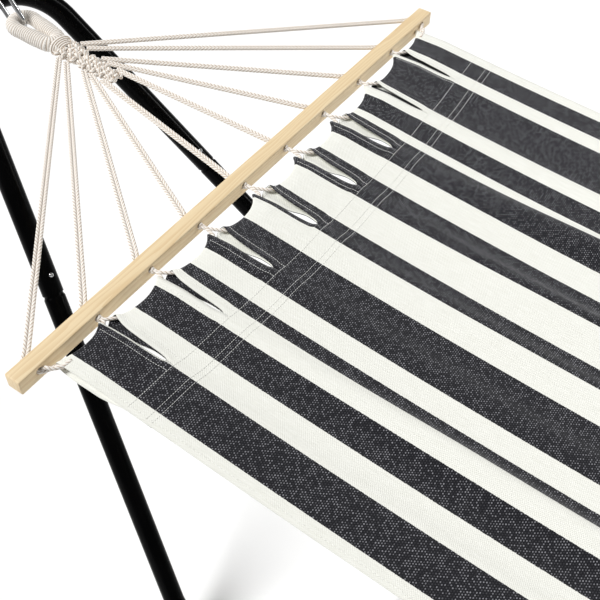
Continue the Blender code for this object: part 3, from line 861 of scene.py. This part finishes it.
def make_hook(end):
    start = math.pi / 2.0 - HOOK_TILT
    over = arc(CROWN, EAST, UP, HOOK_REST, HOOK_TOP_END, start)
    under = arc(HOOK_CENTRE, -HOOK_SIDE, HOOK_DOWN, HOOK_MOUTH_RADIUS, 0.0, math.pi, 2.0 * BEND_STEP)
    tip = under[-1] - HOOK_DOWN * (HOOK_LIP + HOOK_NOSE)
    path = resampled(np.vstack([over, under, tip]), PATH_STEP)
    along = lengths_along(path)
    to_end = np.minimum(along, along[-1] - along)
    nose = np.clip(1.0 - to_end / HOOK_ROD_RADIUS, 0.0, 0.93)
    radius = HOOK_ROD_RADIUS * np.sqrt(1.0 - nose**2)
    part = tube(placed(path, end), radius, 24)
    add_piece(f"{end}_hook", part, BRIGHT_STEEL, "stand", [f"{end}_s_hook"], HOOK_CREASE)


# ---- hanging gear


def rope_line_point(out, y=0.0):
    """A point of the plane that the ropes lie in, at a distance out from the bar's middle."""
    low = BAR_HEIGHT + HOLE_RISE
    share = (out - BAR_WIDTH / 2.0) / (-HOOK_CENTRE[0] - BAR_WIDTH / 2.0)
    return np.array((-out, y, low + (HOOK_CENTRE[2] - low) * share))


def clew_half_width(out):
    share = (CLEW_START_OUT - out) / (CLEW_START_OUT - CLEW_END_OUT)
    return CLEW_HALF_WIDTH + (CLEW_END_HALF_WIDTH - CLEW_HALF_WIDTH) * share


def make_eye(end):
    """The loop of cords, bound all round with finer cord."""
    neck = rope_line_point(EYE_NECK_OUT)
    along = unit(neck - HOOK_CENTRE)
    round_centre = HOOK_CENTRE + along * EYE_HALF_WIDTH
    length = np.linalg.norm(neck - round_centre) - EYE_NECK_RADIUS
    slope = math.asin((EYE_HALF_WIDTH - EYE_NECK_RADIUS) / length)
    first = math.pi / 2.0 - slope
    wide = arc(round_centre, -along, NORTH, EYE_HALF_WIDTH, -math.pi + first, math.pi - first)
    narrow_centre = round_centre + along * length
    narrow = arc(narrow_centre, along, -NORTH, EYE_NECK_RADIUS, -first, first)
    loop = resampled(np.vstack([wide, narrow, wide[:1]]), EYE_WRAP_PITCH / 7.0)[:-1]
    total = lengths_along(np.vstack([loop, loop[:1]]))[-1]
    wraps = round(total / EYE_WRAP_PITCH)
    sideways = np.abs(loop[:, 1]) / EYE_HALF_WIDTH
    limb = EYE_TIP_LIMB + (EYE_SIDE_LIMB - EYE_TIP_LIMB) * sideways
    past_hook = (loop - HOOK_CENTRE) @ along
    limb = limb + EYE_LIMB_SWELL * np.clip((past_hook - EYE_SWELL_START) / EYE_SWELL_RUN, 0.0, 1.0)

    def surface(distance, angle):
        ridge = np.abs(np.sin(math.pi * (wraps * distance / total + angle / (2.0 * math.pi))))
        return limb[:, None] - EYE_WRAP_DEPTH + EYE_WRAP_DEPTH * ridge**0.6

    part = tube(placed(loop, end), surface, 24, True, lambda distance: -wraps * distance / total)
    add_piece(f"{end}_bound_eye", part, WRAP_COTTON, "hammock", [f"{end}_rope_eye"])


def cord_tube(path, radius, hand, groove=0.22, flank=0.7):
    """A three-strand twisted cord; hand is +1 or -1, the way it is laid.

    groove is the depth between strands as a share of the radius, and flank the strands' section.
    """
    reach = np.reshape(radius, (-1, 1))

    def surface(distance, angle):
        turn = angle - hand * 2.0 * math.pi * distance / CORD_LAY
        return reach * (1.0 - groove + groove * np.abs(np.cos(1.5 * turn)) ** flank)

    return tube(path, surface, CORD_SIDES, False, lambda distance: hand * distance / CORD_LAY + HALF_STRAND)


def knot_width(out):
    """Half the clew's width: it bulges at each knot and narrows between them."""
    bulge = 0.0
    for first, last, _ in CLEW_KNOTS:
        middle = (first + last) / 2.0
        reach = (first - last) / 2.0 + 0.006
        bulge = max(bulge, 1.0 - ((out - middle) / reach) ** 2)
    return clew_half_width(out) * (0.80 + 0.22 * max(0.0, bulge) ** 0.5)


def knot_rows():
    """Distance out of each cord that crosses the clew."""
    return np.concatenate([np.linspace(first, last, rows) for first, last, rows in CLEW_KNOTS])


def make_clew(end):
    """The clew: cords that run down it, and three knots of cords woven across them."""
    rows = knot_rows()
    parts = []
    for column in range(CLEW_COLUMNS):
        share = 2.0 * (column + 0.5) / CLEW_COLUMNS - 1.0
        points = [rope_line_point(CLEW_START_OUT + 0.016, share * CLEW_HALF_WIDTH * 0.5)]
        for row, out in enumerate(rows):
            lift = CLEW_WEAVE_DEPTH * math.cos(math.pi * (column + row))
            wander = 0.0012 * math.sin(2.1 * row + 1.7 * column)
            point = rope_line_point(out, share * knot_width(out) * 0.84 + wander)
            points.append(point + UP * lift * knot_width(out) / CLEW_HALF_WIDTH)
        path = smoothed(points, PATH_STEP)
        taper = np.linspace(*COLUMN_RADII, len(path))
        parts.append(cord_tube(placed(path, end), taper, 1.0, 0.16, 0.8))
    for row, out in enumerate(rows):
        parts.append(crossing_cord(end, row, out))
    for turn in range(COLLAR_COUNT):
        out = CLEW_START_OUT + 0.002 - COLLAR_PITCH * turn
        parts.append(collar(end, out, COLLAR_HALF_WIDTH - COLLAR_TAPER * turn))
    add_piece(f"{end}_woven_clew", joined(parts), CORD_COTTON, "hammock", [f"{end}_clew"])


def crossing_cord(end, row, out):
    """A cord that crosses the clew over and under its columns, and turns in at each edge."""
    half = knot_width(out)
    side = -1.0 if row % 2 == 0 else 1.0
    slant = 0.0026 * (1.0 if (row // 2) % 2 == 0 else -1.0)
    points = [rope_line_point(out + 0.003, -side * (half - 0.004)) - UP * 0.003]
    points.append(rope_line_point(out + 0.001, -side * (half + 0.0012)))
    for step in range(2 * CLEW_COLUMNS + 1):
        y = side * half * 0.93 * (step / CLEW_COLUMNS - 1.0)
        column = (y / half + 1.0) / 2.0 * CLEW_COLUMNS - 0.5
        lift = -CLEW_WEAVE_DEPTH * math.cos(math.pi * (column + row)) * half / CLEW_HALF_WIDTH
        points.append(rope_line_point(out + slant * y / half, y) + UP * lift)
    points.append(rope_line_point(out - 0.001, side * (half + 0.0016)))
    points.append(rope_line_point(out - 0.004, side * (half - 0.003)) - UP * 0.003)
    return cord_tube(placed(smoothed(points, PATH_STEP), end), CORD_DIAMETER * 0.6, side)


def collar(end, out, half_width):
    """A turn of cord round the neck of the eye."""
    angle = np.linspace(0.0, 2.0 * math.pi, 60, endpoint=False)
    centre = rope_line_point(out)
    ring = centre + half_width * np.cos(angle)[:, None] * NORTH
    ring = ring + 0.63 * half_width * np.sin(angle)[:, None] * UP
    ring = ring + EAST * 0.0012 * np.sin(2.0 * angle)[:, None]
    return tube(placed(ring, end), CORD_DIAMETER / 2.0, CORD_SIDES, True)


def hole_y(index):
    pitch = (BAR_LENGTH - 2.0 * HOLE_INSET) / (HOLE_COUNT - 1)
    return -BAR_LENGTH / 2.0 + HOLE_INSET + index * pitch


def tab_entry(index, toward):
    """Where a cord goes into the open side of a tab, and where it stops inside."""
    if index in (0, HOLE_COUNT - 1):
        side = -1.0 if index == 0 else 1.0
        deep = 0.5 * (1.0 + toward * side)
        y = side * (BED_HALF_WIDTH - 0.001)
        further = y - side * (0.014 + 0.004 * deep)
        lead = roll_centre(further) + 0.004 * (1.0 - deep)
        return (
            np.array((lead[0], y, lead[2])),
            np.array((lead[0] + 0.002, further, lead[2])),
        )
    y = hole_y(index)
    drawn = MOUTH_LOW if toward > 0.0 else MOUTH_HIGH
    near = roll_centre(y + toward * 0.003)
    far = roll_centre(y + toward * (drawn + 0.018))
    return np.array((near[0], y + toward * (drawn + 0.0005), near[2])), far


def roll_centre(y):
    """The middle of the rolled leading edge at a place across the bed."""
    tab, share = tab_at(y)
    lead = leading_edge(tab, np.array([share]))[0] + FOLD_RADIUS
    return np.array((lead, y, cloth_height(y, lead) - FOLD_RADIUS))


def cord_route(index, toward):
    """The points of one cord of a pair; toward is the side (-1 or +1) of its tab."""
    y = hole_y(index)
    side = -1.0 if index < HOLE_COUNT // 2 else 1.0
    out = ROPE_EXITS[min(index, HOLE_COUNT - 1 - index)]
    start = rope_line_point(out, side * (clew_half_width(out) + ROPE_OFF_CLEW))
    half = BAR_WIDTH / 2.0
    level = BAR_HEIGHT + HOLE_RISE
    entry = np.array((-half, y, level))
    ahead = unit(entry - start)
    aside = unit(np.array((-ahead[1], ahead[0], 0.0))) * toward * CORD_SPREAD
    run = np.linalg.norm(entry - start)
    points = [start + aside * 0.9]
    for share in (0.06, 0.2, 0.35, 0.5, 0.65, 0.8):
        points.append(start + ahead * run * share + aside)
    points.append(entry - ahead * 0.018 + aside)
    spread = NORTH * toward * CORD_SPREAD
    points.append(entry - EAST * 0.003 + spread)
    points.append(np.array((0.0, y, level)) + spread)
    goes_in, stops = tab_entry(index, toward)
    leave = np.array((half - 0.001, y, level))
    if index in (0, HOLE_COUNT - 1):
        parting = leave + (goes_in - leave) * 0.7 + UP * 0.001
    else:
        parting = np.array((leave[0] + 0.006, y + toward * 0.001, level + 0.001))
    axis = parting - leave
    for share, turn in ((0.0, 0.0), (0.25, 0.12), (0.5, 0.27), (0.75, 0.42), (1.0, 0.5)):
        angle = 2.0 * math.pi * turn
        across = NORTH * math.cos(angle) * toward + UP * math.sin(angle) * toward
        points.append(leave + axis * share + across * CORD_SPREAD)
    points.append(goes_in)
    points.append(goes_in * 0.4 + stops * 0.6)
    points.append(stops)
    return points


def make_cords(end):
    for index in range(HOLE_COUNT):
        for toward, letter in ((-1.0, "a"), (1.0, "b")):
            path = placed(smoothed(cord_route(index, toward), CORD_STEP), end)
            name = f"{end}_cord_{index + 1:02d}{letter}"
            cord = add_piece(
                name, cord_tube(path, CORD_DIAMETER / 2.0, toward), CORD_COTTON, "hammock",
                [f"{end}_rope_{index + 1:02d}"],
            )
            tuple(path[0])


def make_bar(end):
    """A planed bar with rounded edges and ten drilled holes."""
    node = f"{end}_spreader_bar"
    bar = rounded_block(end + "_pine_bar", node, BAR_EDGE)
    cuts = bmesh.new()
    sideways = Matrix.Rotation(math.pi / 2.0, 4, "Y")
    for index in range(HOLE_COUNT):
        centre = Vector(placed((0.0, hole_y(index), BAR_HEIGHT + HOLE_RISE), end))
        add_cylinder(cuts, HOLE_RADIUS, 2.0 * BAR_WIDTH, Matrix.Translation(centre) @ sideways, 28)
    carved(bar, cuts, BLOCK_CREASE, PINE, "hammock", node)


# ---- cloth


def hump(across):
    """1 along the bed's middle, falling to 0 at its side edges."""
    return np.clip(1.0 - (across / BED_HALF_WIDTH) ** 2, 0.0, 1.0)


def ridge_shape(offset):
    """A ripple's section, 1 at its crest: a long rise on the -Y side and a short drop on the +Y side."""
    rise = np.exp(-((offset / 0.042) ** 2))
    drop = np.exp(-((offset / 0.0155) ** 2))
    return np.where(offset < 0.0, rise, drop)


def ripple(across, x):
    """Height of the ripples, which turn into those of the other end by the bed's middle."""
    change = 0.5 * eased((x - RIPPLE_CHANGE_X) / (-BAR_X - RIPPLE_CHANGE_X))
    return (1.0 - change) * end_ripple(across, x) + change * end_ripple(-across, x)


def end_ripple(across, x):
    """Height of the lengthwise ripples that run on from one end's slits. x is from the bar."""
    growth = eased((x - 0.13) / 0.45)
    near = 1.0 - 0.5 * np.clip((x - 0.15) / 0.25, 0.0, 1.0)
    height = np.zeros_like(across + x)
    for slit, (ridge, shift) in enumerate(RIDGES, start=1):
        crest = hole_y(slit) - 0.004 * (1.0 - growth) + shift * growth
        swell = RIPPLE * near * (1.0 + 0.3 * math.sin(1.9 * slit)) + ridge * growth
        height = height + swell * ridge_shape(across - crest)
    return height * (0.2 + 0.8 * eased((BED_HALF_WIDTH - np.abs(across)) / 0.05))


def cloth_height(across, x):
    """Height of the top layer, at a distance x from the bar towards the bed's middle."""
    lengthwise = 1.0 - np.clip((x - SAG_START_X) / (-BAR_X - SAG_START_X), 0.0, 1.0)
    sag = (BED_SAG + MIDDLE_SAG * hump(across)) * (1.0 - lengthwise**2)
    return BED_TOP - 0.003 - sag + ripple(across, x)


def tab_bounds(tab):
    """The two edges of a tab on the flat cloth."""
    low = -BED_HALF_WIDTH if tab == 0 else hole_y(tab)
    high = BED_HALF_WIDTH if tab == HOLE_COUNT - 2 else hole_y(tab + 1)
    return low, high


def tab_at(across):
    """The tab at a place across the flat cloth, and the share from -1 to 1 across that tab."""
    edges = [tab_bounds(tab)[1] for tab in range(HOLE_COUNT - 1)]
    tab = min(int(np.searchsorted(edges, across)), HOLE_COUNT - 2)
    low, high = tab_bounds(tab)
    return tab, 2.0 * (across - low) / (high - low) - 1.0


def across_of(tab, share):
    low, high = tab_bounds(tab)
    return (low + high) / 2.0 + share * (high - low) / 2.0


def bowed(across, x):
    """The middle of the cloth stands further from the bar than its sides do."""
    return x + MIDDLE_BOW * hump(across) * (1.0 + x / BAR_X)


def leading_edge(tab, share):
    """How far from the bar the tab's leading edge is; share runs from -1 to 1 across the tab."""
    across = across_of(tab, share)
    hollow = TAB_HOLLOW + MIDDLE_HOLLOW * hump(across)
    forward = np.where(share > 0.0, HIGH_CORNER_FORWARD * np.abs(share) ** 2.5, 0.0)
    return bowed(across, TAB_CORNER_X - forward + hollow * (1.0 - share**2))


def slit_gap(tab, share, progress):
    """How far the cloth is drawn in from a slit; progress is 0 at its mouth and 1 at its tip."""
    shut = np.clip(progress, 0.0, 1.0)
    low_belly = SLIT_BELLIES[tab - 1] if tab > 0 else 0.0
    high_belly = SLIT_BELLIES[tab] if tab < HOLE_COUNT - 2 else 0.0
    belly = np.where(share < 0.0, low_belly, high_belly)
    mouth = np.where(share < 0.0, MOUTH_LOW, MOUTH_HIGH) * (belly > 0.0)
    opening = mouth * (1.0 - shut) ** 5 + belly * np.sqrt(np.clip(1.0 - shut**7, 0.0, 1.0))
    return -np.sign(share) * np.abs(share) ** 2 * opening


def under_gap(tab, share, progress, under):
    """slit_gap for a layer; under is 0 for the top layer and 1 for the under layer.

    The under layer of each tab reaches further into the slit on its -Y side, near the bar.
    At the bed's own side edges it shows a little beyond the top layer.
    """
    spare = 1.12 * (1.0 - eased((progress - 0.45) / 0.35))
    gap = slit_gap(tab, share, progress) * np.where(share < 0.0, 1.0 - spare * under, 1.0)
    side = -1.0 if tab == 0 else 1.0
    return gap + side * loose_edge(tab, share, progress) * under


def loose_edge(tab, share, progress):
    """How far the under layer stands out, and hangs down, at the bed's own side edges."""
    side = {0: -1.0, HOLE_COUNT - 2: 1.0}.get(tab, 0.0)
    loose = UNDER_SHOWS * np.clip(4.0 * progress * (1.0 - progress) + 0.15, 0.0, 1.0)
    return np.where(share * side > 0.0, np.abs(share) ** 6, 0.0) * loose


def cloth_point(tab, share, station):
    """A point of the cloth in the end frame. station is ("top", x), ("fold", angle) or ("under", x)."""
    across = across_of(tab, share)
    lead = leading_edge(tab, share)
    turn_x = lead + FOLD_RADIUS
    kind, value = station
    if kind == "fold":
        y = across + under_gap(tab, share, np.zeros_like(share), value / math.pi)
        top = cloth_height(across, turn_x)
        x = turn_x - FOLD_RADIUS * math.sin(value)
        return np.stack([x, y, top - FOLD_RADIUS + FOLD_RADIUS * math.cos(value)], axis=-1)
    under = 1.0 if kind == "under" else 0.0
    sewn = bowed(across, CROSS_STITCH_X)
    if value < CROSS_STITCH_X:
        x = sewn + (turn_x - sewn) * (CROSS_STITCH_X - value) / CROSS_STITCH_X
    else:
        x = bowed(across, value)
    tip = bowed(across, SLIT_TIP_X)
    along_slit = (x - lead) / (tip - lead)
    y = across + under_gap(tab, share, along_slit, under)
    top = cloth_height(across, x)
    progress = np.clip((x - turn_x) / (sewn - turn_x), 0.0, 1.0)
    depth = LAYER_GAP + (2.0 * FOLD_RADIUS - LAYER_GAP) * (1.0 - progress**3)
    depth = depth + loose_edge(tab, share, along_slit)
    return np.stack([x, y, top - depth * under], axis=-1)


def cloth_stations():
    """The rows of the cloth's mesh at one end, from the bed's middle to the hem underneath."""
    middle = np.linspace(-BAR_X, 0.21, 42)
    hem = np.linspace(0.20, CROSS_STITCH_X, 6)
    tab = np.linspace(CROSS_STITCH_X, 0.0, 22)[1:]
    rows = [("top", x) for x in (*middle, *hem, *tab)]
    rows += [("fold", angle) for angle in np.linspace(0.0, math.pi, 9)[1:-1]]
    rows += [("under", x) for x in (*tab[::-1], CROSS_STITCH_X)]
    rows += [("under", x) for x in np.linspace(CROSS_STITCH_X, HEM_END_X, 6)[1:]]
    return rows


def flat_lengths(rows):
    """Each row's place along the flat cloth, from the bed's middle."""
    points = [cloth_point(4, np.array([0.0]), row)[0] for row in rows]
    return lengths_along(np.array(points))


def make_bed():
    rows = cloth_stations()
    along = flat_lengths(rows)
    columns = 18
    shares = np.linspace(-1.0, 1.0, columns + 1)
    corners, faces, texture = [], [], []
    for end, turn in TURN.items():
        for tab in range(HOLE_COUNT - 1):
            across = across_of(tab, shares)
            start = len(corners) * (columns + 1)
            for row in rows:
                corners.append(placed(cloth_point(tab, shares, row), end))
            for row in range(len(rows) - 1):
                for column in range(columns):
                    first = start + row * (columns + 1) + column
                    quad = [first, first + columns + 1, first + columns + 2, first + 1]
                    faces.append(quad)
                    near = (turn * across[column], turn * across[column + 1])
                    for side, level in ((0, row), (0, row + 1), (1, row + 1), (1, row)):
                        texture.append((near[side], along[level]))
    part = (np.vstack(corners), faces, np.array(texture))
    bed = add_piece("canvas_bed", part, CANVAS, "hammock", ["bed"])
    weld = bmesh.new()
    weld.from_mesh(bed.data)
    bmesh.ops.remove_doubles(weld, verts=weld.verts, dist=0.00002)
    bmesh.ops.recalc_face_normals(weld, faces=weld.faces)
    weld.to_mesh(bed.data)
    weld.free()
    bed.data.materials.append(CANVAS_REVERSE_PAINTED_SHADE)
    thick = bed.modifiers.new("thickness", "SOLIDIFY")
    thick.thickness = CLOTH_THICKNESS
    thick.offset = 0.0
    thick.material_offset = 1
    apply_modifiers(bed)
    bed.data.shade_smooth()
    stitches = add_piece("canvas_stitching", all_stitches(), THREAD, "hammock", ())


def stitch(first, last):
    """One stitch: a short thread that dips into the cloth at both ends."""
    shape = ((0.0, -STITCH_RISE), (0.2, STITCH_RISE), (0.8, STITCH_RISE), (1.0, -STITCH_RISE))
    path = [first + (last - first) * share + UP * rise for share, rise in shape]
    return tube(path, np.array((0.5, 1.0, 1.0, 0.5)) * STITCH_RADIUS, 5)


def stitched_line(end, surface, count_per_metre=240.0):
    """Stitches along a line on the cloth; surface turns a share of the line into a point."""
    line = np.array([surface(share) for share in np.linspace(0.0, 1.0, 60)])
    count = max(2, int(lengths_along(line)[-1] * count_per_metre))
    lift = UP * (CLOTH_THICKNESS / 2.0 + 0.0001)
    parts = []
    for index in range(count):
        ends = [surface((index + share) / count) + lift for share in (0.12, 0.88)]
        parts.append(stitch(*placed(ends, end)))
    return parts


def top_point(across, x):
    """The top layer at a place across the flat cloth and a distance from the bar."""
    tab, share = tab_at(across)
    return cloth_point(tab, np.array([share]), ("top", x))[0]


def all_stitches():
    parts = []
    for end in TURN:
        reach = BED_HALF_WIDTH - 0.004
        for x in (CROSS_STITCH_X, *HEM_STITCH_X):
            parts += stitched_line(end, lambda share, x=x: top_point(reach * (2.0 * share - 1.0), x))
        for index in range(1, HOLE_COUNT - 1):
            for side in (-1.0, 1.0):
                across = hole_y(index) + side * SLIT_STITCH_INSET
                parts += stitched_line(end, lambda share, y=across: top_point(y, CROSS_STITCH_X * share))
        for side in (-1.0, 1.0):
            across = side * (BED_HALF_WIDTH - SIDE_STITCH_INSET)
            parts += stitched_line(end, lambda share, y=across: top_point(y, -BAR_X * share), 160.0)
    return joined(parts)


# ---- assembly


for end_name in TURN:
    make_cords(end_name)
    make_bar(end_name)
    make_eye(end_name)
    make_clew(end_name)
    make_hook(end_name)
    make_stand_end(end_name)
make_rails()
make_bed()


# ---- studio


def add_camera():
    """The photograph's view: from above and outside the bed's -Y side, down towards the head end."""
    data = bpy.data.cameras.new("camera")
    data.sensor_width = 36.0
    data.lens = 55.14
    camera = linked("camera", data)
    camera.location = (BAR_X + 0.7166, -0.9214, BAR_HEIGHT + 1.0176)
    camera.rotation_euler = tuple(math.radians(angle) for angle in (40.529, -0.702, 35.102))
    bpy.context.scene.camera = camera


def add_floor():
    mesh = bpy.data.meshes.new("studio_floor")
    reach = 30.0
    corners = [(-reach, -reach, 0.0), (reach, -reach, 0.0), (reach, reach, 0.0), (-reach, reach, 0.0)]
    mesh.from_pydata(corners, [], [(0, 1, 2, 3)])
    floor = linked("studio_floor", mesh)
    mesh.materials.append(studio_floor())


def add_light(data, direction, location=(0.0, 0.0, 0.0)):
    light = linked(data.name, data)
    light.location = location
    light.rotation_euler = direction.to_track_quat("-Z", "Y").to_euler()


def add_studio():
    world = bpy.data.worlds.new("studio")
    world.use_nodes = True
    backdrop = world.node_tree.nodes["Background"]
    backdrop.inputs["Color"].default_value = (1.0, 1.0, 1.0, 1.0)
    backdrop.inputs["Strength"].default_value = 0.22
    bpy.context.scene.world = world
    sun = bpy.data.lights.new("key_light", "SUN")
    sun.energy = 3.4
    sun.angle = math.radians(25.0)
    add_light(sun, Vector((0.70, 0.55, -1.0)))
    strip = bpy.data.lights.new("rim_strip", "AREA")
    strip.shape = "RECTANGLE"
    strip.size, strip.size_y = 0.05, 2.6
    strip.energy = 70.0
    place = Vector((1.2, 3.2, 2.6))
    add_light(strip, Vector((-1.2, 0.1, 0.8)) - place, place)
    bpy.context.scene.view_settings.view_transform = "Standard"


add_camera()
add_floor()
add_studio()
